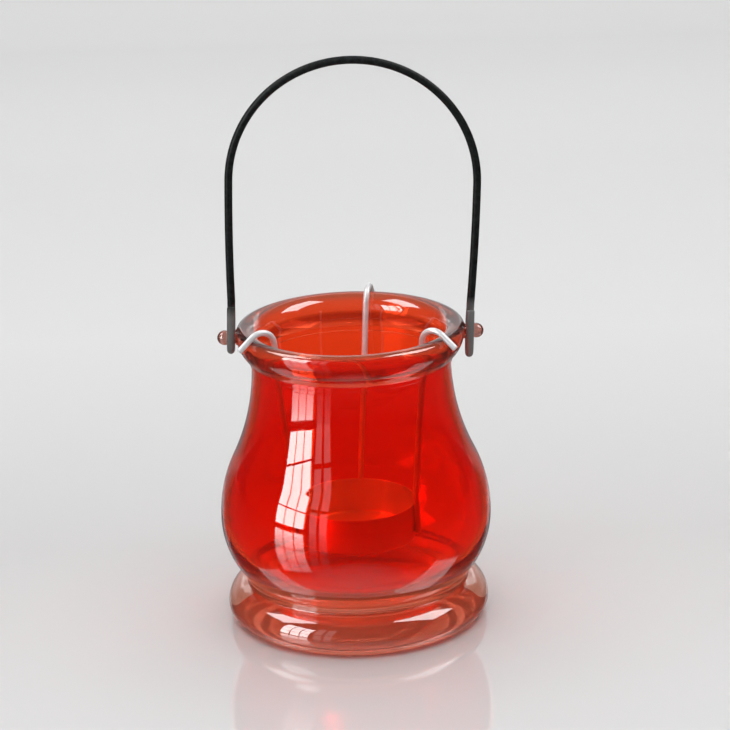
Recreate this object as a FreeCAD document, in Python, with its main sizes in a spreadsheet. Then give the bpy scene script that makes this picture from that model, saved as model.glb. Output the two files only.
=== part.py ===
import FreeCAD, Part
import math
import os
import Sketcher
from FreeCAD import Placement, Rotation, Vector

# A hanging jar lantern: a footed glass jar, a wire bail on two glass knobs, and a candle insert of a tin
# cup on three hooked wires. The frame stands on the foot's centre, Z up, with the knobs on the X axis.

SIZES = [
    # glass jar
    ("jar_height", 101.0, "from the foot to the top of the lip"),
    ("belly_radius", 45.0, "widest radius of the jar"),
    ("belly_level", 35.5, "height of the widest place"),
    ("belly_share", 0.38, "part of the shoulder's S curve that belongs to the belly"),
    ("neck_radius", 32.8, "outer radius of the neck"),
    ("glass_wall", 2.6, "thickness of the blown wall"),
    ("lip_radius", 37.5, "outermost radius of the rolled lip"),
    ("lip_edge", 2.3, "rounding of the lip's outer edge"),
    ("lip_depth", 11.2, "from the top of the lip to the collar under it"),
    ("collar_height", 1.5, "height of the collar under the lip"),
    ("collar_step", 0.45, "how far the collar stands out of the neck"),
    ("throat_radius", 29.6, "radius of the opening inside the lip"),
    ("throat_depth", 7.8, "from the top of the lip to the ledge under the throat"),
    ("waist_radius", 37.0, "radius of the groove between belly and foot"),
    ("waist_level", 13.0, "height of the groove's lower edge"),
    ("waist_band", 2.2, "height of the groove's straight band"),
    ("foot_radius", 43.6, "outermost radius of the foot"),
    ("foot_level", 5.1, "height of the foot's widest place"),
    ("floor_level", 14.0, "height of the cavity's floor"),
    ("punt_radius", 33.0, "radius of the hollow under the foot"),
    ("punt_height", 3.0, "depth of the hollow under the foot"),
    # knobs on the lip
    ("knob_drop", 3.8, "from the top of the lip down to the knobs' axis"),
    ("knob_stem", 3.6, "diameter of a knob's stem"),
    ("knob_ball", 4.9, "diameter of a knob's head"),
    ("knob_fillet", 0.8, "rounding where a stem leaves the lip"),
    # bail
    ("bail_wire", 2.6, "diameter of the bail's wire"),
    ("bail_gap", 0.25, "between the lip and a bail eye"),
    ("stem_gap", 0.3, "between a stem and the sides of its eye"),
    ("knob_play", 0.85, "from a bail eye out to the middle of the knob's head"),
    ("eye_drop", 2.5, "from the knobs' axis down to the middle of an eye's bend"),
    ("eye_rise", 4.0, "from the knobs' axis up to the end of an eye's straight sides"),
    ("eye_neck", 11.0, "from the knobs' axis up to the foot of the arch"),
    ("eye_end", 9.5, "from the knobs' axis up to the wire's cut end"),
    ("end_gap", 0.1, "between the wire's cut end and the plane of the arch's wire"),
    ("bail_flare", 1.05, "how far the arch's shoulders stand outside the eyes"),
    ("bail_rise", 91.5, "from the knobs' axis up to the middle of the wire at the crown"),
    ("bail_lean", 2.6, "degrees that the bail leans to the right in the play of its eyes"),
    # candle insert
    ("candle_width", 38.0, "diameter of a tealight"),
    ("candle_gap", 0.75, "between a tealight and the cup's wall"),
    ("cup_wall", 0.4, "thickness of the cup's sheet"),
    ("cup_height", 12.3, "height of the cup"),
    ("cup_round", 1.2, "rounding of the cup's bottom edge"),
    ("cup_clear", 13.0, "from the cavity's floor up to the cup"),
    ("hanger_wire", 2.0, "diameter of a hanger's wire"),
    ("weld_sink", 0.1, "how deep a wire is welded into the cup's side"),
    ("weld_lift", 1.4, "from the cup's bottom up to a wire's lower end"),
    ("leg_start", 1.5, "from the cup's rim up to where a leg starts to lean"),
    ("leg_bend", 8.0, "bend radius where a leg starts to lean"),
    ("throat_gap", 0.4, "between a hanger's leg and the throat"),
    ("hook_gap", 0.3, "between a hook and the lip that it hangs on"),
    ("hook_bend", 5.0, "bend radius of a hook"),
    ("hook_slope", 40.0, "degrees that a hook's outer end points down"),
    ("hook_reach", 3.5, "how far a hook's tip reaches past the lip"),
    ("turn_left", 209.0, "degrees round the jar to the left hook"),
    ("turn_right", 325.0, "degrees round the jar to the right hook"),
    ("turn_back", 79.0, "degrees round the jar to the back hook"),
    ("tilt_left", -4.5, "degrees that the left hanger slants along the lip on its way down"),
    ("tilt_right", 6.3, "degrees that the right hanger slants along the lip on its way down"),
    ("tilt_back", 2.0, "degrees that the back hanger slants along the lip on its way down"),
]

# places that several pieces share, in terms of the sizes
KNOB_LEVEL = "(sizes.jar_height - sizes.knob_drop)"
EYE_ACROSS = "(sizes.lip_radius + sizes.bail_gap + sizes.bail_wire / 2)"
EYE_HALF = "(sizes.knob_stem / 2 + sizes.stem_gap + sizes.bail_wire / 2)"
CROWN_RADIUS = "(%s + sizes.bail_flare)" % EYE_ACROSS
CUP_LEVEL = "(sizes.floor_level + sizes.cup_clear)"
CUP_RADIUS = "(sizes.candle_width / 2 + sizes.candle_gap + sizes.cup_wall)"
LIP_MIDDLE = ("(sizes.lip_radius - sizes.lip_edge)", "(sizes.jar_height - sizes.lip_edge)")

doc = FreeCAD.newDocument("jar_lantern")
sheet = doc.addObject("Spreadsheet::Sheet", "sizes")
for row, (alias, number, meaning) in enumerate(SIZES, 1):
    sheet.set("A%d" % row, meaning)
    sheet.set("B%d" % row, str(number))
    sheet.setAlias("B%d" % row, alias)
doc.recompute()


def value(expression):
    return float(sheet.evalExpression(expression.replace("sizes.", "")))


def new_body(name):
    body = doc.addObject("PartDesign::Body", name)
    body.Label = name
    return body


def origin_plane(body, role):
    return [feature for feature in body.Origin.OriginFeatures if feature.Role == role][0]


def new_sketch(body, name, role, offset_axis=None, offset="0"):
    sketch = body.newObject("Sketcher::SketchObject", name)
    sketch.AttachmentSupport = [(origin_plane(body, role), "")]
    sketch.MapMode = "FlatFace"
    if offset_axis:
        sketch.setExpression("AttachmentOffset.Base.%s" % offset_axis, offset)
    return sketch


def bind(sketch, constraint, expression):
    index = sketch.addConstraint(constraint)
    sketch.setExpression("Constraints[%d]" % index, expression)


# Ties one coordinate of a sketch point to the sizes. A point at zero lies on the sketch's own axis.
def tie(sketch, geometry, position, coordinate, expression):
    if expression == "0":
        axis = -2 if coordinate == "across" else -1
        sketch.addConstraint(Sketcher.Constraint("PointOnObject", geometry, position, axis))
        return
    kind = "DistanceX" if coordinate == "across" else "DistanceY"
    length = Sketcher.Constraint(kind, -1, 1, geometry, position, value(expression))
    bind(sketch, length, expression)


def tie_point(sketch, geometry, position, place):
    tie(sketch, geometry, position, "across", place[0])
    tie(sketch, geometry, position, "level", place[1])


# The middle of the circle through two points, where one coordinate of that middle is known.
def arc_middle(start, end, coordinate, place):
    half = (end.x * end.x + end.y * end.y - start.x * start.x - start.y * start.y) / 2
    if coordinate == "level":
        return Vector((half - place * (end.y - start.y)) / (end.x - start.x), place, 0)
    return Vector(place, (half - place * (end.x - start.x)) / (end.y - start.y), 0)


def arc_shape(middle, start, end, turn):
    radius = (start - middle).Length
    first, last = (start, end) if turn == "ccw" else (end, start)
    angles = [math.atan2(point.y - middle.y, point.x - middle.x) for point in (first, last)]
    return Part.ArcOfCircle(Part.Circle(middle, Vector(0, 0, 1), radius), angles[0], angles[1])


# Draws a chain of lines and arcs through corners that are pairs of expressions. An edge is None for a
# line, or the arc's turn with the coordinate and place of its middle. A closed chain has as many edges
# as corners.
def draw(sketch, corners, edges):
    spots = [Vector(value(across), value(level), 0) for across, level in corners]
    chain = []
    for number, edge in enumerate(edges):
        start = spots[number]
        end = spots[(number + 1) % len(spots)]
        if edge is None:
            chain.append((sketch.addGeometry(Part.LineSegment(start, end)), 1, 2))
            continue
        turn, coordinate, place = edge
        middle = arc_middle(start, end, coordinate, value(place))
        index = sketch.addGeometry(arc_shape(middle, start, end, turn))
        chain.append((index, 1, 2) if turn == "ccw" else (index, 2, 1))
        tie(sketch, index, 3, coordinate, place)
    for (index, first, last), corner in zip(chain, corners):
        tie_point(sketch, index, first, corner)
    for here, following in zip(chain, chain[1:]):
        sketch.addConstraint(Sketcher.Constraint("Coincident", here[0], here[2], following[0], following[1]))
    if len(edges) == len(corners):
        here, following = chain[-1], chain[0]
        sketch.addConstraint(Sketcher.Constraint("Coincident", here[0], here[2], following[0], following[1]))
    else:
        tie_point(sketch, chain[-1][0], chain[-1][2], corners[-1])
    return chain


def smooth(sketch, here, following):
    sketch.addConstraint(Sketcher.Constraint("Tangent", here[0], here[2], following[0], following[1]))


def revolve(body, name, sketch, axis):
    feature = body.newObject("PartDesign::Revolution", name)
    feature.Profile = sketch
    feature.ReferenceAxis = (sketch, [axis])
    feature.Angle = 360.0
    return feature


# A round wire along a path that starts upright at a place given across the body and above its origin.
def run_wire(body, name, path, across, level, diameter):
    section = new_sketch(body, name + "_section", "XY_Plane", "z", level)
    middle = Vector(value(across), 0, 0)
    ring = section.addGeometry(Part.Circle(middle, Vector(0, 0, 1), value(diameter) / 2))
    tie_point(section, ring, 3, (across, "0"))
    bind(section, Sketcher.Constraint("Diameter", ring, value(diameter)), diameter)
    doc.recompute()
    wire = body.newObject("PartDesign::AdditivePipe", name)
    wire.Profile = section
    wire.Spine = (path, ["Edge%d" % (number + 1) for number in range(len(path.Shape.Edges))])
    return wire


def mirror_feature(body, name, feature):
    pair = body.newObject("PartDesign::Mirrored", name)
    pair.Originals = [feature]
    pair.MirrorPlane = (origin_plane(body, "YZ_Plane"), [""])
    body.Tip = pair
    return pair


def make_glass_jar():
    body = new_body("glass_jar")
    outline = new_sketch(body, "jar_outline", "XZ_Plane")
    lip_middle, edge_level = LIP_MIDDLE
    collar_top = "(sizes.jar_height - sizes.lip_depth)"
    neck_top = "(%s - sizes.collar_height)" % collar_top
    collar_radius = "sizes.neck_radius + sizes.collar_step"
    ledge_level = "sizes.jar_height - sizes.throat_depth"
    throat_top = "(sizes.jar_height - (%s - sizes.throat_radius))" % lip_middle
    band_top = "(sizes.waist_level + sizes.waist_band)"
    inner_neck = "(sizes.neck_radius - sizes.glass_wall)"
    inner_belly = "(sizes.belly_radius - sizes.glass_wall)"
    punt_middle = "(sizes.punt_height ^ 2 - sizes.punt_radius ^ 2) / (2 * sizes.punt_height)"
    # The shoulder is two arcs that are upright at belly and neck, so they meet on the line between those
    # ends. The inner arcs keep the outer ones' middles, which moves their meeting place by the wall.
    narrowing = "(sizes.belly_radius - sizes.neck_radius)"
    rise = "(%s - sizes.belly_level)" % neck_top
    both_curves = "((%s ^ 2 + %s ^ 2) / (2 * %s))" % (narrowing, rise, narrowing)
    inner_share = "(sizes.belly_share - sizes.glass_wall / %s)" % both_curves
    turn_across = "%s - %s * %s"
    turn_level = "sizes.belly_level + %s * %s"
    corners = [
        ("0", "sizes.punt_height"),
        ("sizes.punt_radius", "0"),
        ("sizes.foot_radius - sizes.foot_level", "0"),
        ("sizes.foot_radius", "sizes.foot_level"),
        ("sizes.waist_radius", "sizes.waist_level"),
        ("sizes.waist_radius", band_top),
        ("sizes.belly_radius", "sizes.belly_level"),
        (turn_across % ("sizes.belly_radius", narrowing, "sizes.belly_share"),
         turn_level % (rise, "sizes.belly_share")),
        ("sizes.neck_radius", neck_top),
        (collar_radius, neck_top),
        (collar_radius, collar_top),
        ("sizes.lip_radius", edge_level),
        (lip_middle, "sizes.jar_height"),
        ("sizes.throat_radius", throat_top),
        ("sizes.throat_radius", ledge_level),
        (inner_neck, ledge_level),
        (inner_neck, neck_top),
        (turn_across % (inner_belly, narrowing, inner_share), turn_level % (rise, inner_share)),
        (inner_belly, "sizes.belly_level"),
        ("%s - (sizes.belly_level - sizes.floor_level)" % inner_belly, "sizes.floor_level"),
        ("0", "sizes.floor_level"),
    ]
    edges = [
        ("cw", "level", punt_middle),
        None,
        ("ccw", "level", "sizes.foot_level"),
        ("ccw", "level", "sizes.foot_level"),
        None,
        ("ccw", "level", "sizes.belly_level"),
        ("ccw", "level", "sizes.belly_level"),
        ("cw", "level", neck_top),
        None,
        None,
        ("ccw", "level", edge_level),
        ("ccw", "level", edge_level),
        ("ccw", "across", lip_middle),
        None,
        None,
        None,
        ("ccw", "level", neck_top),
        ("cw", "level", "sizes.belly_level"),
        ("cw", "level", "sizes.belly_level"),
        None,
        None,
    ]
    draw(outline, corners, edges)
    revolve(body, "jar_wall", outline, "V_Axis")

    # A knob grows out of the lip: a filleted stem that the bail turns on, and a round head that keeps it.
    profile = new_sketch(body, "knob_outline", "XZ_Plane", "y", KNOB_LEVEL)
    stem = "sizes.knob_stem / 2"
    ball = "sizes.knob_ball / 2"
    ball_across = "(%s + sizes.bail_wire / 2 + sizes.knob_play)" % EYE_ACROSS
    corners = [
        (lip_middle, "0"),
        (lip_middle, "%s + sizes.knob_fillet" % stem),
        ("sizes.lip_radius", "%s + sizes.knob_fillet" % stem),
        ("sizes.lip_radius + sizes.knob_fillet", stem),
        ("%s - sqrt((%s) ^ 2 - (%s) ^ 2)" % (ball_across, ball, stem), stem),
        ("%s + %s" % (ball_across, ball), "0"),
    ]
    edges = [
        None,
        None,
        ("ccw", "level", "%s + sizes.knob_fillet" % stem),
        None,
        ("cw", "across", ball_across),
        None,
    ]
    draw(profile, corners, edges)
    knob = revolve(body, "knob", profile, "H_Axis")
    doc.recompute()
    mirror_feature(body, "knob_pair", knob)
    return body


def make_bail():
    body = new_body("bail_handle")
    # the arch, in its own plane: two gently flaring legs and a round crown
    arch = new_sketch(body, "arch_path", "XZ_Plane")
    across, crown = value(EYE_ACROSS), value(CROWN_RADIUS)
    foot, middle = value("sizes.eye_neck"), value("sizes.bail_rise") - crown
    leg = ((middle - foot) ** 2 + across ** 2 - crown ** 2) / (2 * (crown - across))
    share = crown / (crown + leg)
    join = Vector((across + leg) * share, middle + (foot - middle) * share, 0)
    left_join = Vector(-join.x, join.y, 0)
    top = Vector(0, middle, 0)
    left = (arch.addGeometry(arc_shape(Vector(-across - leg, foot, 0), Vector(-across, foot, 0),
                                       left_join, "ccw")), 1, 2)
    over = (arch.addGeometry(arc_shape(top, left_join, join, "cw")), 2, 1)
    right = (arch.addGeometry(arc_shape(Vector(across + leg, foot, 0), join,
                                        Vector(across, foot, 0), "ccw")), 1, 2)
    tie_point(arch, left[0], left[1], ("-" + EYE_ACROSS, "sizes.eye_neck"))
    tie_point(arch, right[0], right[2], (EYE_ACROSS, "sizes.eye_neck"))
    for end in (left, right):
        tie(arch, end[0], 3, "level", "sizes.eye_neck")
    tie_point(arch, over[0], 3, ("0", "sizes.bail_rise - %s" % CROWN_RADIUS))
    bind(arch, Sketcher.Constraint("Radius", over[0], crown), CROWN_RADIUS)
    smooth(arch, left, over)
    smooth(arch, over, right)
    doc.recompute()
    run_wire(body, "arch_wire", arch, "-" + EYE_ACROSS, "sizes.eye_neck", "sizes.bail_wire")

    # an eye, square to the arch: the wire steps behind the stem, turns under it and comes up in front
    eye = new_sketch(body, "eye_path", "YZ_Plane", "z", EYE_ACROSS)
    corners = [
        ("0", "sizes.eye_neck"),
        ("%s / 2" % EYE_HALF, "(sizes.eye_neck + sizes.eye_rise) / 2"),
        (EYE_HALF, "sizes.eye_rise"),
        (EYE_HALF, "-sizes.eye_drop"),
        ("-" + EYE_HALF, "-sizes.eye_drop"),
        ("-" + EYE_HALF, "sizes.eye_rise"),
        ("-(sizes.bail_wire + sizes.end_gap)", "sizes.eye_end"),
    ]
    edges = [
        ("ccw", "level", "sizes.eye_neck"),
        ("cw", "level", "sizes.eye_rise"),
        None,
        ("cw", "level", "-sizes.eye_drop"),
        None,
        ("cw", "level", "sizes.eye_rise"),
    ]
    draw(eye, corners, edges)
    doc.recompute()
    loop = run_wire(body, "eye_wire", eye, EYE_ACROSS, "sizes.eye_neck", "sizes.bail_wire")
    doc.recompute()
    mirror_feature(body, "eye_pair", loop)
    body.Placement = Placement(Vector(0, 0, value(KNOB_LEVEL)),
                               Rotation(Vector(0, 1, 0), value("sizes.bail_lean")))
    body.setExpression("Placement.Base.z", KNOB_LEVEL)
    body.setExpression("Placement.Rotation.Angle", "sizes.bail_lean * 1 deg")
    return body


def make_candle_cup():
    body = new_body("candle_cup")
    outline = new_sketch(body, "cup_outline", "XZ_Plane")
    inside = "(%s - sizes.cup_wall)" % CUP_RADIUS
    floor = "(%s + sizes.cup_wall)" % CUP_LEVEL
    rim = "%s + sizes.cup_height" % CUP_LEVEL
    corner_across = "(%s - sizes.cup_round)" % CUP_RADIUS
    corner_level = "(%s + sizes.cup_round)" % CUP_LEVEL
    corners = [
        ("0", CUP_LEVEL),
        (corner_across, CUP_LEVEL),
        (CUP_RADIUS, corner_level),
        (CUP_RADIUS, rim),
        (inside, rim),
        (inside, corner_level),
        (corner_across, floor),
        ("0", floor),
    ]
    edges = [
        None,
        ("ccw", "level", corner_level),
        None,
        None,
        None,
        ("cw", "level", corner_level),
        None,
        None,
    ]
    draw(outline, corners, edges)
    revolve(body, "cup_shell", outline, "V_Axis")
    return body


# A hanger is bent in one plane, which stands square to the lip at its hook and slants about that place.
def make_hanger(name, turn, tilt):
    body = new_body(name)
    path = new_sketch(body, "leg_path", "XZ_Plane")
    slope = math.radians(value("sizes.hook_slope"))
    bend = value("sizes.hook_bend")
    weld_radius = "(%s + sizes.hanger_wire / 2 - sizes.weld_sink)" % CUP_RADIUS
    weld_drop = "(%s - %s - sizes.cup_height / 2)" % (LIP_MIDDLE[1], CUP_LEVEL)
    weld_aside = "(%s * sin(%s * 1 deg))" % (weld_drop, tilt)
    weld_across = "sqrt(%s ^ 2 - %s ^ 2)" % (weld_radius, weld_aside)
    weld_level = "(%s + sizes.weld_lift)" % CUP_LEVEL
    lean_level = "%s + sizes.cup_height + sizes.leg_start" % CUP_LEVEL
    hook_across = "sizes.throat_radius - sizes.throat_gap - sizes.hanger_wire / 2 + sizes.hook_bend"
    seat = "sizes.lip_edge + sizes.hook_gap + sizes.hanger_wire / 2"
    tip_across = "sizes.lip_radius + sizes.hook_reach"

    # first places of the path, which the constraints then hold: a leg from the weld to the hook's bend,
    # and an outer end that lies on the lip's edge
    outward = Vector(math.cos(slope), -math.sin(slope), 0)
    upward = Vector(math.sin(slope), math.cos(slope), 0)
    lip = Vector(value(LIP_MIDDLE[0]), value(LIP_MIDDLE[1]), 0)
    resting = lip + upward * value(seat)
    hook = Vector(value(hook_across), 0, 0)
    hook.y = resting.y - (bend + upward.x * (hook.x - resting.x)) / upward.y
    corner = Vector(value(weld_across), value(lean_level), 0)
    reach = hook - corner
    lean = math.atan2(reach.x, reach.y) - math.asin(bend / reach.Length)
    side = Vector(math.cos(lean), -math.sin(lean), 0)
    leg_middle = corner + Vector(value("sizes.leg_bend"), 0, 0)
    leaning = leg_middle - side * value("sizes.leg_bend")
    bend_start = hook - side * bend
    bend_end = hook + upward * bend
    tip = bend_end + outward * ((value(tip_across) - bend_end.x) / outward.x)

    weld = (path.addGeometry(Part.LineSegment(Vector(corner.x, value(weld_level), 0), corner)), 1, 2)
    knee = (path.addGeometry(arc_shape(leg_middle, corner, leaning, "cw")), 2, 1)
    leg = (path.addGeometry(Part.LineSegment(leaning, bend_start)), 1, 2)
    arch = (path.addGeometry(arc_shape(hook, bend_start, bend_end, "cw")), 2, 1)
    outer = (path.addGeometry(Part.LineSegment(bend_end, tip)), 1, 2)
    rest = path.addGeometry(Part.Point(lip), True)
    tie_point(path, weld[0], weld[1], (weld_across, weld_level))
    path.addConstraint(Sketcher.Constraint("Vertical", weld[0]))
    tie(path, weld[0], weld[2], "level", lean_level)
    for here, following in zip((weld, knee, leg, arch), (knee, leg, arch, outer)):
        smooth(path, here, following)
    bind(path, Sketcher.Constraint("Radius", knee[0], value("sizes.leg_bend")), "sizes.leg_bend")
    bind(path, Sketcher.Constraint("Radius", arch[0], bend), "sizes.hook_bend")
    tie(path, arch[0], 3, "across", hook_across)
    bind(path, Sketcher.Constraint("Angle", outer[0], -slope), "-sizes.hook_slope * 1 deg")
    tie_point(path, rest, 1, LIP_MIDDLE)
    bind(path, Sketcher.Constraint("Distance", rest, 1, outer[0], value(seat)), seat)
    tie(path, outer[0], outer[2], "across", tip_across)
    doc.recompute()
    run_wire(body, "leg_wire", path, weld_across, weld_level, "sizes.hanger_wire")
    turned = "placement(vector(0; 0; %s); rotation(vector(0; 0; 1); %s * 1 deg))" % (LIP_MIDDLE[1], turn)
    slanted = "placement(vector(0; 0; 0); rotation(vector(1; 0; 0); %s * 1 deg))" % tilt
    hung = "placement(vector(0; 0; -%s); rotation(vector(0; 0; 1); 0 deg))" % LIP_MIDDLE[1]
    body.setExpression("Placement", "%s * %s * %s" % (turned, slanted, hung))
    return body


pieces = [
    make_glass_jar(),
    make_bail(),
    make_candle_cup(),
    make_hanger("hanger_wire_left", "sizes.turn_left", "sizes.tilt_left"),
    make_hanger("hanger_wire_right", "sizes.turn_right", "sizes.tilt_right"),
    make_hanger("hanger_wire_back", "sizes.turn_back", "sizes.tilt_back"),
]
doc.recompute()

for item in doc.Objects:
    if "Invalid" in item.State or "Error" in item.State:
        raise RuntimeError("%s failed: %s" % (item.Name, item.State))
for piece in pieces:
    if piece.Shape.isNull() or not piece.Shape.isValid() or len(piece.Shape.Solids) != 1:
        raise RuntimeError("%s is not one sound solid" % piece.Label)

os.makedirs("parts", exist_ok=True)
for piece in pieces:
    piece.Shape.exportStep("parts/%s.step" % piece.Label)
    box = piece.Shape.optimalBoundingBox(False)
    print("%-18s volume %9.1f  x %7.2f %7.2f  y %7.2f %7.2f  z %7.2f %7.2f" % (
        piece.Label, piece.Shape.Volume, box.XMin, box.XMax, box.YMin, box.YMax, box.ZMin, box.ZMax))
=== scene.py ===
import math

import bmesh
import bpy
from mathutils import Matrix, Vector


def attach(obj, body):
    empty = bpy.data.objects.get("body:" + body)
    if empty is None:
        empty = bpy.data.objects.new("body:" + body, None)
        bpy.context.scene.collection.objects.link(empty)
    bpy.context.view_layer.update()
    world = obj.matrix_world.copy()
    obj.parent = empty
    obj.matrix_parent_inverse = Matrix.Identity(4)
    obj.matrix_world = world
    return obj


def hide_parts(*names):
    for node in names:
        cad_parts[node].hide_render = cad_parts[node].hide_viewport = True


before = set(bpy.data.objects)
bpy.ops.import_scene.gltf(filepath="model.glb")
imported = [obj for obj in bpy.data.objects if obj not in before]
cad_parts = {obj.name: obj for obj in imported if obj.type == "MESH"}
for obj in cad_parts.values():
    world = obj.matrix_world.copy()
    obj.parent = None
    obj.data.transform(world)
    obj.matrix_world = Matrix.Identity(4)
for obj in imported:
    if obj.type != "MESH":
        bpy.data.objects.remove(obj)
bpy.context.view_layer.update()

scene = bpy.context.scene
milli = 0.001  # the pieces are given in mm, the scene is in metres
print("stage: frame loaded")


# shapes

def arcPoints(centre, start, end, steps):
    # points from start to end round a centre, the short way
    first = math.atan2(start[1] - centre[1], start[0] - centre[0])
    sweep = math.atan2(end[1] - centre[1], end[0] - centre[0]) - first
    sweep = (sweep + math.pi) % (2 * math.pi) - math.pi
    radius = math.hypot(start[0] - centre[0], start[1] - centre[1])
    turns = [first + sweep * step / steps for step in range(steps + 1)]
    return [(centre[0] + radius * math.cos(turn), centre[1] + radius * math.sin(turn)) for turn in turns]


def levelCentre(start, end, level):
    # centre of the arc from start to end, on the given level
    across = end[0] - start[0]
    lift = (end[1] - level) ** 2 - (start[1] - level) ** 2
    return ((end[0] ** 2 - start[0] ** 2 + lift) / (2 * across), level)


def softened(points, radius, steps=4, straight=150.0, most=0.45, same=1e-6):
    # a polyline's sharp inner corners, rounded off by no more than a share of their sides
    result = [points[0]]
    for before, corner, after in zip(points, points[1:], points[2:]):
        middle = Vector(corner)
        inward = Vector(before) - middle
        outward = Vector(after) - middle
        if min(inward.length, outward.length) < same or inward.angle(outward) > math.radians(straight):
            result.append(corner)
            continue
        reach = min(radius, most * inward.length, most * outward.length)
        start = middle + inward.normalized() * reach
        end = middle + outward.normalized() * reach
        for step in range(steps + 1):
            share = step / steps
            result.append(tuple(start.lerp(middle, share).lerp(middle.lerp(end, share), share)))
    result.append(points[-1])
    return result


def spun(bm, profile, turns, axis="Z", at=(0, 0, 0)):
    # a profile of (across, along) in mm, spun round an axis
    made = []
    for across, along in profile:
        spot = (across, 0, along) if axis == "Z" else (along, across, 0)
        made.append(bm.verts.new((Vector(spot) + Vector(at)) * milli))
    edges = [bm.edges.new(pair) for pair in zip(made, made[1:])]
    line = (0, 0, 1) if axis == "Z" else (1, 0, 0)
    bmesh.ops.spin(bm, geom=made + edges, cent=Vector(at) * milli, axis=line,
                   angle=2 * math.pi, steps=turns, use_merge=True)


def swept(bm, path, normal, radius, sides, endShare=0.35):
    # a wire of round section along a path in mm, with its ends' edges rounded
    count = len(path)
    ways = [(path[min(i + 1, count - 1)] - path[max(i - 1, 0)]).normalized() for i in range(count)]
    stations = [(spot, way, radius) for spot, way in zip(path, ways)][1:-1]
    rounding = radius * endShare
    for degrees in (0, 30, 60, 90):
        turn = math.radians(degrees)
        inset = rounding * (1 - math.sin(turn))
        thick = radius - rounding * (1 - math.cos(turn))
        stations.insert(0, (path[0] + ways[0] * inset, ways[0], thick))
        stations.append((path[-1] - ways[-1] * inset, ways[-1], thick))
    rings = []
    last = stations[0][1]
    for spot, way, thick in stations:
        normal = last.rotation_difference(way) @ normal
        last = way
        place = Matrix((normal, way.cross(normal), way)).transposed().to_4x4()
        place.translation = spot * milli
        ring = bmesh.ops.create_circle(bm, cap_ends=False, segments=sides, radius=thick * milli, matrix=place)
        rings.append(list({edge for vert in ring["verts"] for edge in vert.link_edges}))
    for ring, following in zip(rings, rings[1:]):
        bmesh.ops.bridge_loops(bm, edges=ring + following)
    bmesh.ops.contextual_create(bm, geom=rings[0])
    bmesh.ops.contextual_create(bm, geom=rings[-1])


def finished(bm, name, sharp, seam=1e-7):
    # a mesh object at the origin with merged seams, outward faces and soft shading
    bmesh.ops.remove_doubles(bm, verts=bm.verts, dist=seam)
    bmesh.ops.recalc_face_normals(bm, faces=bm.faces)
    for face in bm.faces:
        face.smooth = True
    mesh = bpy.data.meshes.new(name)
    bm.to_mesh(mesh)
    bm.free()
    mesh.set_sharp_from_angle(angle=math.radians(sharp))
    piece = bpy.data.objects.new(name, mesh)
    scene.collection.objects.link(piece)
    return piece


# materials: a helper ending in Of gives what comes out of its node

def newMaterial(name, constants):
    # the shader's own sockets take what doesn't vary
    material = bpy.data.materials.new(name)
    material.use_nodes = True
    for socket, value in constants.items():
        material.node_tree.nodes["Principled BSDF"].inputs[socket].default_value = value
    return material


def feed(material, socket, source):
    # the shader's socket takes a node's result
    shader = material.node_tree.nodes["Principled BSDF"]
    material.node_tree.links.new(source, shader.inputs[socket])


def addNode(material, kind, links=(), **values):
    # a node with its properties set, and its inputs set or linked
    tree = material.node_tree
    node = tree.nodes.new(kind)
    for key, value in values.items():
        setattr(node, key, value)
    for socket, source in links:
        if isinstance(source, bpy.types.NodeSocket):
            tree.links.new(source, node.inputs[socket])
        else:
            node.inputs[socket].default_value = source
    return node


def placeOf(material, squash=(1, 1, 1)):
    # object coordinates in metres, each times its own factor
    coordinate = addNode(material, "ShaderNodeTexCoord")
    mapping = addNode(material, "ShaderNodeMapping", [
        ("Vector", coordinate.outputs["Object"]), ("Scale", squash)])
    return mapping.outputs["Vector"]


def axesOf(material, squash=(1, 1, 1)):
    return addNode(material, "ShaderNodeSeparateXYZ", [("Vector", placeOf(material, squash))]).outputs


def lengthOf(material, squash=(1, 1, 1)):
    # how far a place is from the origin
    place = placeOf(material, squash)
    return addNode(material, "ShaderNodeVectorMath", [(0, place)], operation="LENGTH").outputs["Value"]


def noiseOf(material, scale, detail, rough=0.5, squash=(1, 1, 1)):
    noise = addNode(material, "ShaderNodeTexNoise", [
        ("Vector", placeOf(material, squash)), ("Scale", scale), ("Detail", detail), ("Roughness", rough)])
    return noise.outputs["Fac"]


def mathOf(material, operation, *values, clamp=False):
    node = addNode(material, "ShaderNodeMath", enumerate(values), operation=operation, use_clamp=clamp)
    return node.outputs[0]


def rangeOf(material, value, ends, results=(0.0, 1.0)):
    # the stretch between two ends, carried over to two results
    node = addNode(material, "ShaderNodeMapRange", [
        ("Value", value), ("From Min", ends[0]), ("From Max", ends[1]),
        ("To Min", results[0]), ("To Max", results[1])])
    return node.outputs["Result"]


def rampOf(material, source, stops):
    # stops of (place, colour), where a single number is a grey
    ramp = addNode(material, "ShaderNodeValToRGB", [("Fac", source)])
    elements = ramp.color_ramp.elements
    elements.remove(elements[1])
    for index, (place, colour) in enumerate(stops):
        element = elements[0] if index == 0 else elements.new(place)
        element.position = place
        shade = colour if isinstance(colour, tuple) else (colour,) * 3
        element.color = shade + (1.0,)
    return ramp.outputs["Color"]


def tinted(material, share, colour, tint):
    # the Mix node's colour sockets go by number, as their names repeat
    mix = addNode(material, "ShaderNodeMix", [(0, share), (6, colour), (7, tint + (1.0,))], data_type="RGBA")
    return mix.outputs[2]


def bumpOf(material, height, strength, distance):
    bump = addNode(material, "ShaderNodeBump", [
        ("Strength", strength), ("Distance", distance), ("Height", height)])
    return bump.outputs["Normal"]


def wear(piece, material, slotName, body, *nodes):
    piece.data.materials.append(material)
    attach(piece, body)
    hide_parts(*nodes)


# the glass jar: one profile spun, with a knob on each side

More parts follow.
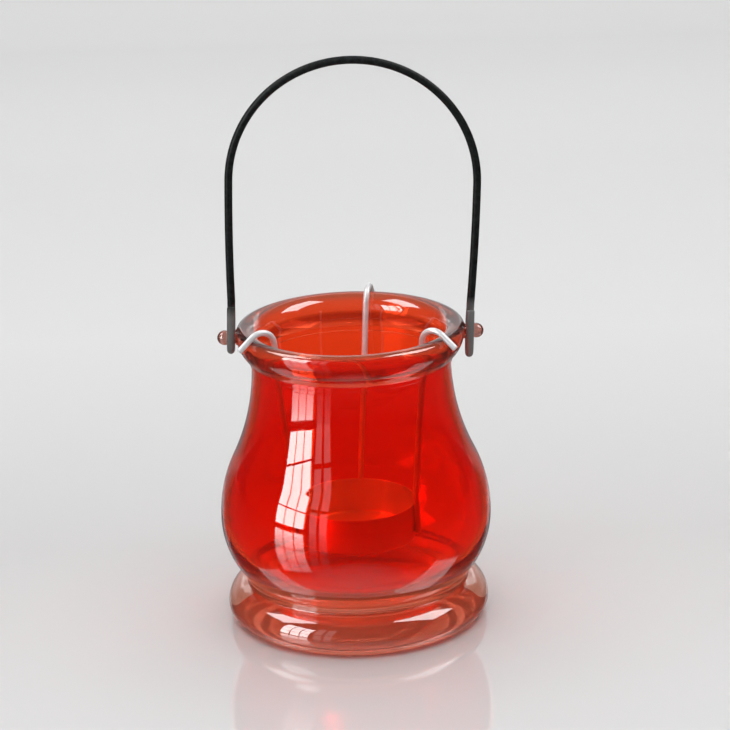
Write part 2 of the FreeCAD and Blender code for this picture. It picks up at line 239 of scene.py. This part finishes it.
jar = {
    # places on the profile as (radius, height), the waist's as (radius, low, high)
    "height": 101.0, "belly": (45.0, 35.5), "bellyShare": 0.38, "neck": (32.8, 88.3), "wall": 2.6,
    "collar": (33.25, 89.8), "lip": (37.5, 98.7), "lipEdge": 2.3, "throat": (29.6, 95.4), "ledge": 93.2,
    "waist": (37.0, 13.0, 15.2), "foot": (43.6, 5.1), "floor": 14.0, "punt": (33.0, 3.0),
    "corner": 0.45, "turns": 224, "sharp": 50,
    # clear glass and its sprayed coat by the share of the height, paler on the foot, the lower belly and the
    # crest: partly a thinner coat, and partly painted light standing in for the table's light through the
    # foot and lower belly and for the reflection along the crest
    "shader": {"IOR": 1.5, "Coat Weight": 0.6, "Coat Roughness": 0.015},
    "coatAndPaintedLight": [
        (0.0, (0.99, 0.30, 0.19)), (0.12, (0.98, 0.22, 0.11)), (0.19, (0.96, 0.13, 0.045)),
        (0.28, (0.93, 0.055, 0.010)), (0.38, (0.92, 0.045, 0.006)), (0.70, (0.92, 0.05, 0.008)),
        (0.90, (0.93, 0.055, 0.011)), (0.96, (0.93, 0.08, 0.022)), (1.0, (0.90, 0.13, 0.06))],
    "patches": {"scale": 60.0, "detail": 3.0, "squash": (1, 1, 0.5)}, "patchShift": 0.06,
    "clear": [(0.0, 0.72), (0.13, 0.73), (0.2, 0.80), (0.3, 0.95), (0.88, 0.97), (0.96, 0.95)],
    # painted shade: a dark red band under the throat; and a painted dark reflection along the crest
    "throatShadeRadius": (31.2, 30.4), "throatShadeRise": [(0.905, 0.0), (0.92, 1.0), (0.942, 1.0), (0.955, 0.0)],
    "throatShadeTint": (0.30, 0.012, 0.004), "crestReflectionRise": (0.980, 0.995), "crestReflectionTint": (0.40, 0.19, 0.165),
    # faint smears in the gloss, and the slow ripples of pressed glass
    "smears": {"scale": 160.0, "detail": 4.0, "squash": (1, 1, 0.35)}, "smearEnds": (0.3, 0.75),
    "roughness": (0.01, 0.04),
    "ripples": {"scale": 55.0, "detail": 1.0, "squash": (1, 1, 0.6)}, "rippleBump": (0.12, 0.0012),
}
knob = {
    "level": 97.2, "stem": 1.8, "ball": 2.45, "ballAt": 41.2, "fillet": 0.8, "root": 35.0,
    "wallAt": 37.45, "wallGap": 0.05, "turns": 40,
    # its own tint, outside a radius and above a share of the height
    "tint": (0.48, 0.21, 0.17), "tintAt": (37.6, 38.8), "tintAbove": 0.9,
}


def jarProfile():
    belly, neck, foot, waist, wall = jar["belly"], jar["neck"], jar["foot"], jar["waist"], jar["wall"]
    collar, lip, throat = jar["collar"], jar["lip"], jar["throat"]
    # the punt and the foot
    puntWidth, puntHeight = jar["punt"]
    puntCentre = (0, (puntHeight ** 2 - puntWidth ** 2) / (2 * puntHeight))
    points = arcPoints(puntCentre, (0, puntHeight), (puntWidth, 0), steps=12)
    points += arcPoints((foot[0] - foot[1], foot[1]), (foot[0] - foot[1], 0), foot, steps=12)
    points += arcPoints(levelCentre(foot, waist[:2], foot[1]), foot, waist[:2], steps=10)[1:]
    # the waist, the belly and the neck, whose arcs meet at the turning
    waistTop = (waist[0], waist[2])
    points += arcPoints(levelCentre(waistTop, belly, belly[1]), waistTop, belly, steps=16)
    share = jar["bellyShare"]
    turning = (belly[0] + (neck[0] - belly[0]) * share, belly[1] + (neck[1] - belly[1]) * share)
    bellyCentre = levelCentre(belly, turning, belly[1])
    neckCentre = levelCentre(turning, neck, neck[1])
    points += arcPoints(bellyCentre, belly, turning, steps=12)[1:]
    points += arcPoints(neckCentre, turning, neck, steps=18)[1:]
    # the collar, the rolled lip, the throat and the ledge under it
    points += [(collar[0], neck[1]), collar]
    points += arcPoints(levelCentre(collar, lip, lip[1]), collar, lip, steps=12)[1:]
    crest = (lip[0] - jar["lipEdge"], jar["height"])
    points += arcPoints((crest[0], lip[1]), lip, crest, steps=12)[1:]
    points += arcPoints((crest[0], throat[1]), crest, throat, steps=14)[1:]
    neckInside = (neck[0] - wall, neck[1])
    points += [(throat[0], jar["ledge"]), (neckInside[0], jar["ledge"]), neckInside]

    def moved(spot, centre, grow):
        # a place moved out from a centre, or in towards it
        out = Vector(spot) - Vector(centre)
        return tuple(Vector(centre) + out * ((out.length + grow) / out.length))

    # down the inside to the floor
    bellyInside = (belly[0] - wall, belly[1])
    points += arcPoints(neckCentre, neckInside, moved(turning, neckCentre, wall), steps=18)[1:]
    points += arcPoints(bellyCentre, moved(turning, bellyCentre, -wall), bellyInside, steps=12)[1:]
    bowlCentre = (bellyInside[0] - (belly[1] - jar["floor"]), belly[1])
    points += arcPoints(bowlCentre, bellyInside, (bowlCentre[0], jar["floor"]), steps=20)[1:]
    points.append((0, jar["floor"]))
    return softened(points, jar["corner"])


def knobProfile():
    # from inside the lip out along the stem and round the ball
    stem, ball, fillet, root = knob["stem"], knob["ball"], knob["fillet"], knob["root"]
    start = (knob["wallAt"] + knob["wallGap"], stem + fillet)
    filletEnd = (start[0] + fillet, stem)
    shoulder = (knob["ballAt"] - math.sqrt(ball ** 2 - stem ** 2), stem)
    outline = arcPoints((filletEnd[0], start[1]), start, filletEnd, steps=6)
    outline += arcPoints((knob["ballAt"], 0), shoulder, (knob["ballAt"] + ball, 0), steps=20)
    return [(0, root), (start[1], root)] + [(across, along) for along, across in outline]


def makeJar():
    bm = bmesh.new()
    spun(bm, jarProfile(), jar["turns"])
    piece = finished(bm, "jar_glass", jar["sharp"])
    for side in (1, -1):
        bm = bmesh.new()
        profile = [(across, along * side) for across, along in knobProfile()]
        spun(bm, profile, knob["turns"], "X", (0, 0, knob["level"]))
        pin = finished(bm, "knob_glass", jar["sharp"])
        join = piece.modifiers.new("join", "BOOLEAN")
        join.operation = "UNION"
        join.solver = "EXACT"
        join.object = pin
        depsgraph = bpy.context.evaluated_depsgraph_get()
        joined = bpy.data.meshes.new_from_object(piece.evaluated_get(depsgraph))
        piece.modifiers.clear()
        piece.data = joined
        bpy.data.objects.remove(pin)
    return piece


def redGlass():
    material = newMaterial("red_glass", jar["shader"])
    axes = axesOf(material, (1, 1, 1 / (jar["height"] * milli)))
    rise = axes["Z"]
    shift = jar["patchShift"]
    wander = mathOf(material, "MULTIPLY_ADD", noiseOf(material, **jar["patches"]), shift, rise)
    # the coat's colour by height is partly painted light: a paler foot and lower belly for light from the
    # table, and a paler crest for its reflection
    coatAndPaintedLight = rampOf(material, mathOf(material, "SUBTRACT", wander, shift / 2), jar["coatAndPaintedLight"])
    # thinner on the knobs
    aside = mathOf(material, "ABSOLUTE", axes["X"])
    outside = rangeOf(material, aside, [spot * milli for spot in knob["tintAt"]])
    above = mathOf(material, "GREATER_THAN", rise, knob["tintAbove"])
    coatAndPaintedLight = tinted(material, mathOf(material, "MULTIPLY", outside, above), coatAndPaintedLight, knob["tint"])
    # painted shade under the throat, and a painted dark reflection along the crest
    within = rangeOf(material, lengthOf(material, (1, 1, 0)), [radius * milli for radius in jar["throatShadeRadius"]])
    throatShade = mathOf(material, "MULTIPLY", within, rampOf(material, rise, jar["throatShadeRise"]))
    coatAndPaintedLight = tinted(material, throatShade, coatAndPaintedLight, jar["throatShadeTint"])
    # a painted dark reflection along the crest
    coatAndPaintedLight = tinted(material, rangeOf(material, rise, jar["crestReflectionRise"]), coatAndPaintedLight, jar["crestReflectionTint"])
    feed(material, "Base Color", coatAndPaintedLight)
    feed(material, "Transmission Weight", rampOf(material, rise, jar["clear"]))
    smear = noiseOf(material, **jar["smears"])
    feed(material, "Roughness", rangeOf(material, smear, jar["smearEnds"], jar["roughness"]))
    feed(material, "Normal", bumpOf(material, noiseOf(material, **jar["ripples"]), *jar["rippleBump"]))
    return material


jarGlass = makeJar()
wear(jarGlass, redGlass(), "red_glass", "jar", "glass_jar")
print("stage: jar made, faces", len(jarGlass.data.polygons))


# the bail: one wire with a hairpin eye round each knob

bail = {
    # heights are from the pivot, and the lean is in degrees
    "wireRadius": 1.3, "pivot": knob["level"], "across": 39.05, "crown": 40.1, "crownUp": 51.4, "lean": 2.6,
    "eyeHalf": 3.4, "eyeNeck": 11.0, "eyeRise": 4.0, "eyeDrop": -2.5, "eyeEnd": (-2.7, 9.5),
    "sides": 28, "sharp": 40,
    # black lacquer that fades, between two heights over the table, to a lighter grey on the eyes, a painted
    # reflection of the bright table
    "shader": {"Specular IOR Level": 0.09},
    "grain": {"scale": 700.0, "detail": 4.0, "rough": 0.6}, "grainBump": (0.12, 0.0004),
    "tones": [(0.3, (0.006, 0.007, 0.007)), (0.7, (0.022, 0.024, 0.024))],
    "eyeSheenAt": (109.0, 105.0), "eyeSheenTint": (0.18, 0.176, 0.172),
    "worn": {"scale": 180.0, "detail": 3.0}, "wornEnds": (0.3, 0.7), "roughness": (0.29, 0.38),
}


def makeBail():
    foot = (bail["across"], bail["eyeNeck"])
    shoulder = (bail["crown"], bail["crownUp"])
    top = (0, bail["crownUp"] + bail["crown"])
    leg = arcPoints(levelCentre(foot, shoulder, shoulder[1]), foot, shoulder, steps=20)
    crown = arcPoints((0, shoulder[1]), shoulder, top, steps=44)
    half = [(across, 0, up) for across, up in leg + crown[1:]]
    # the eye: behind the stem, under it and up in front
    back, neck, rise = bail["eyeHalf"], bail["eyeNeck"], bail["eyeRise"]
    drop, end = bail["eyeDrop"], bail["eyeEnd"]
    step = (back / 2, (neck + rise) / 2)
    turns = arcPoints(levelCentre((0, neck), step, neck), (0, neck), step, steps=8)
    turns += arcPoints(levelCentre(step, (back, rise), rise), step, (back, rise), steps=8)[1:]
    turns += arcPoints((0, drop), (back, drop), (-back, drop), steps=20)
    turns += arcPoints(levelCentre((-back, rise), end, rise), (-back, rise), end, steps=8)
    eye = [(bail["across"], along, up) for along, up in turns]
    right = eye[::-1] + half[1:]
    left = [(-across, along, up) for across, along, up in right[-2::-1]]
    lean = Matrix.Rotation(math.radians(bail["lean"]), 3, "Y")
    path = [lean @ Vector(spot) + Vector((0, 0, bail["pivot"])) for spot in right + left]
    bm = bmesh.new()
    swept(bm, path, lean @ Vector((1, 0, 0)), bail["wireRadius"], bail["sides"])
    return finished(bm, "bail_wire", bail["sharp"])


def blackWire():
    material = newMaterial("black_wire", bail["shader"])
    grain = noiseOf(material, **bail["grain"])
    # painted reflection: below a height the eyes turn a lighter grey
    eyeSheen = rangeOf(material, axesOf(material)["Z"], [level * milli for level in bail["eyeSheenAt"]])
    tone = rampOf(material, grain, bail["tones"])
    feed(material, "Base Color", tinted(material, eyeSheen, tone, bail["eyeSheenTint"]))
    worn = noiseOf(material, **bail["worn"])
    feed(material, "Roughness", rangeOf(material, worn, bail["wornEnds"], bail["roughness"]))
    feed(material, "Normal", bumpOf(material, grain, *bail["grainBump"]))
    return material


bailWire = makeBail()
wear(bailWire, blackWire(), "black_wire", "bail", "bail_handle")
print("stage: bail made")


# the candle insert: a drawn cup and three hooked wires

cup = {
    "outer": 20.15, "wall": 0.4, "low": 27.0, "high": 39.3, "round": 1.2, "turns": 160, "sharp": 50,
    # rings left by the drawing tool, and a satin grain
    "shader": {"Metallic": 0.65},
    "rings": {"scale": 2600.0, "detail": 3.0, "squash": (0.02, 0.02, 1)},
    "tones": [(0.3, (0.80, 0.80, 0.80)), (0.7, (0.87, 0.87, 0.86))],
    "grain": {"scale": 350.0, "detail": 2.0}, "grainEnds": (0.3, 0.7), "roughness": (0.30, 0.36),
}
hanger = {
    "wireRadius": 1.0, "sink": 0.1, "start": 28.4, "middle": 33.0, "knee": 40.8, "kneeBend": 8.0,
    "hookAcross": 33.2, "hookBend": 5.0, "slope": 40.0, "seat": 3.6, "tip": 41.0, "sides": 24, "sharp": 40,
    "lip": (jar["lip"][0] - jar["lipEdge"], jar["lip"][1]),  # the middle of the lip's rounded edge
    # each wire's turn round the jar and its tilt, in degrees
    "wires": {"left": (209.0, -4.5), "right": (325.0, 6.3), "back": (79.0, 2.0)},
    "shader": {"Metallic": 0.15},
    "grain": {"scale": 500.0, "detail": 4.0, "rough": 0.6}, "grainBump": (0.10, 0.0003),
    "tones": [(0.25, (0.76, 0.76, 0.77)), (0.75, (0.90, 0.90, 0.91))],
    "grainEnds": (0.25, 0.75), "roughness": (0.30, 0.42),
}


def makeCup():
    outer, wall, low, high, bend = cup["outer"], cup["wall"], cup["low"], cup["high"], cup["round"]
    corner = (outer - bend, low + bend)
    rim = (outer - wall / 2, high - wall / 2)
    rimTop = (rim[0], high)
    points = [(0, low)]
    points += arcPoints(corner, (corner[0], low), (outer, corner[1]), steps=8)
    points += arcPoints(rim, (outer, rim[1]), rimTop, steps=5)
    points += arcPoints(rim, rimTop, (outer - wall, rim[1]), steps=5)[1:]
    points += arcPoints(corner, (outer - wall, corner[1]), (corner[0], low + wall), steps=8)
    points.append((0, low + wall))
    bm = bmesh.new()
    spun(bm, points, cup["turns"])
    return finished(bm, "cup_tin", cup["sharp"])


def makeHanger(name, turn, tilt):
    # a leg from the weld to the hook's bend, and an outer end on the lip's edge
    slope = math.radians(hanger["slope"])
    outward = Vector((math.cos(slope), -math.sin(slope)))
    upward = Vector((math.sin(slope), math.cos(slope)))
    bend = hanger["hookBend"]
    resting = Vector(hanger["lip"]) + upward * hanger["seat"]
    hook = Vector((hanger["hookAcross"], 0))
    hook.y = resting.y - (bend + upward.x * (hook.x - resting.x)) / upward.y
    drop = hanger["lip"][1] - (cup["low"] + cup["high"]) / 2
    weld = cup["outer"] + hanger["wireRadius"] - hanger["sink"]
    across = math.sqrt(weld ** 2 - (drop * math.sin(math.radians(tilt))) ** 2)
    knee = Vector((across, hanger["knee"]))
    reach = hook - knee
    lean = math.atan2(reach.x, reach.y) - math.asin(bend / reach.length)
    side = Vector((math.cos(lean), -math.sin(lean)))
    kneeCentre = knee + Vector((hanger["kneeBend"], 0))
    bendEnd = hook + upward * bend
    tip = bendEnd + outward * ((hanger["tip"] - bendEnd.x) / outward.x)
    line = [(across, hanger["start"]), (across, hanger["middle"])]
    line += arcPoints(kneeCentre, knee, kneeCentre - side * hanger["kneeBend"], steps=6)
    line += arcPoints(hook, hook - side * bend, bendEnd, steps=28)
    line += [tuple(bendEnd.lerp(tip, 0.5)), tuple(tip)]
    lip = Vector((0, 0, hanger["lip"][1]))
    turned = Matrix.Rotation(math.radians(turn), 3, "Z") @ Matrix.Rotation(math.radians(tilt), 3, "X")
    path = [turned @ (Vector((out, 0, up)) - lip) + lip for out, up in line]
    bm = bmesh.new()
    swept(bm, path, turned @ Vector((0, 1, 0)), hanger["wireRadius"], hanger["sides"])
    return finished(bm, name, hanger["sharp"])


def drawnTin():
    material = newMaterial("tin", cup["shader"])
    rings = noiseOf(material, **cup["rings"])
    feed(material, "Base Color", rampOf(material, rings, cup["tones"]))
    grain = noiseOf(material, **cup["grain"])
    feed(material, "Roughness", rangeOf(material, grain, cup["grainEnds"], cup["roughness"]))
    return material


def brightWire():
    material = newMaterial("bright_wire", hanger["shader"])
    grain = noiseOf(material, **hanger["grain"])
    feed(material, "Base Color", rampOf(material, grain, hanger["tones"]))
    feed(material, "Roughness", rangeOf(material, grain, hanger["grainEnds"], hanger["roughness"]))
    feed(material, "Normal", bumpOf(material, grain, *hanger["grainBump"]))
    return material


cupTin = makeCup()
wear(cupTin, drawnTin(), "tin", "insert", "candle_cup")
hangerFinish = brightWire()
for name, (turn, tilt) in hanger["wires"].items():
    wire = makeHanger("hanger_" + name, turn, tilt)
    wear(wire, hangerFinish, "bright_wire", "insert", "hanger_wire_" + name)
print("stage: insert made")


# the picture, in metres: camera, table, lamps and room

view = {
    "lens": 147.95, "sensor": 36.0, "distance": 0.9864, "rise": 18.27, "roll": -1.74,
    "aim": (0.00447, 0.0, 0.0863),
}


def makeCamera():
    camera = bpy.data.objects.new("camera", bpy.data.cameras.new("camera"))
    scene.collection.objects.link(camera)
    camera.data.lens = view["lens"]
    camera.data.sensor_width = view["sensor"]
    rise = math.radians(view["rise"])
    roll = math.radians(view["roll"])
    right = Vector((1, 0, 0))
    upward = Vector((0, math.sin(rise), math.cos(rise)))
    backward = Vector((0, -math.cos(rise), math.sin(rise)))
    rows = (right * math.cos(roll) + upward * math.sin(roll),
            upward * math.cos(roll) - right * math.sin(roll), backward)
    turned = Matrix(rows).transposed().to_4x4()
    turned.translation = Vector(view["aim"]) + backward * view["distance"]
    camera.matrix_world = turned
    return camera


scene.camera = makeCamera()

table = {
    "left": -2.4, "width": 4.8, "flat": (-2.2, -1.0, 0.0, 0.9), "sweep": 0.6, "top": 1.8, "sharp": 80,
    "shader": {"Roughness": 0.08, "IOR": 2.0, "Emission Color": (1.0, 1.0, 1.0, 1.0)},
    # tones from the front to the back, painted light and shade on the table: darkest just behind the jar and
    # palest some 0.3 m behind it
    "toneEnds": (-0.2, 1.0),
    "tones": [(0.0, (0.78, 0.78, 0.782)), (0.10, (0.76, 0.76, 0.762)), (0.22, (0.68, 0.68, 0.682)),
              (0.42, (0.80, 0.80, 0.802)), (0.85, (0.74, 0.74, 0.742))],
    # where it turns dim in the gloss: away from the jar, short of the back, and at the sides
    "dimTint": (0.05, 0.05, 0.05), "dimShape": (2.2, 1, 1), "dimFrom": (0.06, 0.12),
    "dimBefore": (1.3, 0.5), "flags": (0.6, 1.2),
    # painted light: how brightly the table glows through the glass, near the jar and away from it
    "glowEnds": (0.06, 0.13), "glow": (0.45, 0.0),
}


def mirroredShare(material, rays):
    # refraction counts as glossy too, so it is taken off
    return mathOf(material, "SUBTRACT", rays["Is Glossy Ray"], rays["Is Transmission Ray"], clamp=True)


def paleBoard():
    material = newMaterial("floor_board", table["shader"])
    axes = axesOf(material)
    # the tones across the table are painted light and shade
    pale = rampOf(material, rangeOf(material, axes["Y"], table["toneEnds"]), table["tones"])
    rays = addNode(material, "ShaderNodeLightPath").outputs
    # in the gloss it is pale only near the jar and far behind it, with dark flags at the sides
    far = rangeOf(material, lengthOf(material, table["dimShape"]), table["dimFrom"])
    before = rangeOf(material, axes["Y"], table["dimBefore"])
    around = mathOf(material, "MULTIPLY", far, before)
    dim = mathOf(material, "MULTIPLY", around, mirroredShare(material, rays))
    aside = rangeOf(material, mathOf(material, "ABSOLUTE", axes["X"]), table["flags"])
    flagged = mathOf(material, "MULTIPLY", aside, rays["Is Glossy Ray"])
    hidden = mathOf(material, "MAXIMUM", dim, flagged)
    feed(material, "Base Color", tinted(material, hidden, pale, table["dimTint"]))
    # painted light: the table glows where it is seen through the glass, paler than its shadow
    near = rangeOf(material, lengthOf(material), table["glowEnds"], table["glow"])
    through = mathOf(material, "SUBTRACT", rays["Is Transmission Ray"], rays["Diffuse Depth"], clamp=True)
    feed(material, "Emission Strength", mathOf(material, "MULTIPLY", near, through))
    return material


def makeFloor():
    # a pale table that sweeps up behind
    end, sweep = table["flat"][-1], table["sweep"]
    profile = [(along, 0.0) for along in table["flat"]]
    profile += arcPoints((end, sweep), (end, 0.0), (end + sweep, sweep), steps=16)[1:]
    profile.append((end + sweep, table["top"]))
    bm = bmesh.new()
    made = [bm.verts.new((table["left"], along, up)) for along, up in profile]
    edges = [bm.edges.new(pair) for pair in zip(made, made[1:])]
    drawn = bmesh.ops.extrude_edge_only(bm, edges=edges)
    moved = [item for item in drawn["geom"] if isinstance(item, bmesh.types.BMVert)]
    bmesh.ops.translate(bm, verts=moved, vec=(table["width"], 0, 0))
    board = finished(bm, "floor", table["sharp"])
    board.data.materials.append(paleBoard())
    return board


floor = makeFloor()

# the overhead lamp lights what is matt, and the softboxes and panes show only in the gloss
lamps = {
    "overhead": {"spot": (0.0, 0.2, 1.7), "aim": (0, 0.2, 0), "size": (2.2, 2.2), "power": 25.0,
                 "inGloss": False},
    "softbox_left": {"spot": (-1.2, 0.1, 1.6), "aim": (0, 0, 0.05), "size": (0.9, 1.0), "power": 23.0},
    "softbox_right": {"spot": (1.2, 0.0, 1.6), "aim": (0, 0, 0.05), "size": (0.9, 1.3), "power": 30.0},
}
windows = {
    "window": {"middle": (-1.15, -0.74, 0.36), "aim": (0, 0, 0.1), "pane": (0.20, 0.30), "gap": 0.025,
               "columns": 3, "rows": (-0.5, 0.5, 1.5), "power": 2.2},
    "curtain": {"middle": (-0.72, -1.16, 0.44), "aim": (0, 0, 0.1), "pane": (0.16, 0.7), "gap": 0.06,
                "columns": 2, "rows": (-0.5, 0.5), "power": 0.35},
}
mouthLamp = {"power": 50.0, "height": 1.5, "radius": 0.027, "drop": 1.4, "blend": 0.4, "soft": 0.02}


def addLamp(name, spot, aim, size, power, inGloss=True):
    lamp = bpy.data.lights.new(name, "AREA")
    lamp.shape = "RECTANGLE"
    lamp.size, lamp.size_y = size
    lamp.energy = power
    holder = bpy.data.objects.new(name, lamp)
    holder.location = spot
    holder.rotation_euler = (Vector(aim) - Vector(spot)).to_track_quat("-Z", "Y").to_euler()
    holder.visible_glossy = inGloss
    holder.visible_diffuse = not inGloss
    scene.collection.objects.link(holder)


def addWindow(name, middle, aim, pane, gap, columns, rows, power):
    # panes in columns, with the rows given as places up from the middle
    facing = Vector(aim) - Vector(middle)
    sideways = facing.cross(Vector((0, 0, 1))).normalized()
    aloft = sideways.cross(facing).normalized()
    for column in range(columns):
        for row in rows:
            out = (column - (columns - 1) / 2) * (pane[0] + gap)
            up = row * (pane[1] + gap)
            spot = Vector(middle) + sideways * out + aloft * up
            addLamp(name, spot, spot + facing, pane, power)


def addMouthLamp():
    # a narrow lamp straight over the mouth, for the cup
    lamp = bpy.data.lights.new("spot", "SPOT")
    lamp.energy = mouthLamp["power"]
    lamp.spot_size = 2 * math.atan2(mouthLamp["radius"], mouthLamp["drop"])
    lamp.spot_blend = mouthLamp["blend"]
    lamp.shadow_soft_size = mouthLamp["soft"]
    holder = bpy.data.objects.new("spot", lamp)
    holder.location = (0, 0, mouthLamp["height"])
    holder.visible_glossy = False
    scene.collection.objects.link(holder)


for name, lamp in lamps.items():
    addLamp(name, **lamp)
addMouthLamp()
for name, window in windows.items():
    addWindow(name, **window)

room = {"light": 0.48, "mirrored": 0.02}


def makeRoom():
    # even light on what is matt, and a dim room in the gloss
    world = bpy.data.worlds.new("room")
    world.use_nodes = True
    rays = addNode(world, "ShaderNodeLightPath").outputs
    strength = rangeOf(world, mirroredShare(world, rays), (0.0, 1.0), (room["light"], room["mirrored"]))
    backdrop = world.node_tree.nodes["Background"]
    backdrop.inputs["Color"].default_value = (1.0, 1.0, 1.0, 1.0)
    world.node_tree.links.new(strength, backdrop.inputs["Strength"])
    return world


scene.world = makeRoom()
scene.view_settings.view_transform = "Standard"
print("stage: picture set")
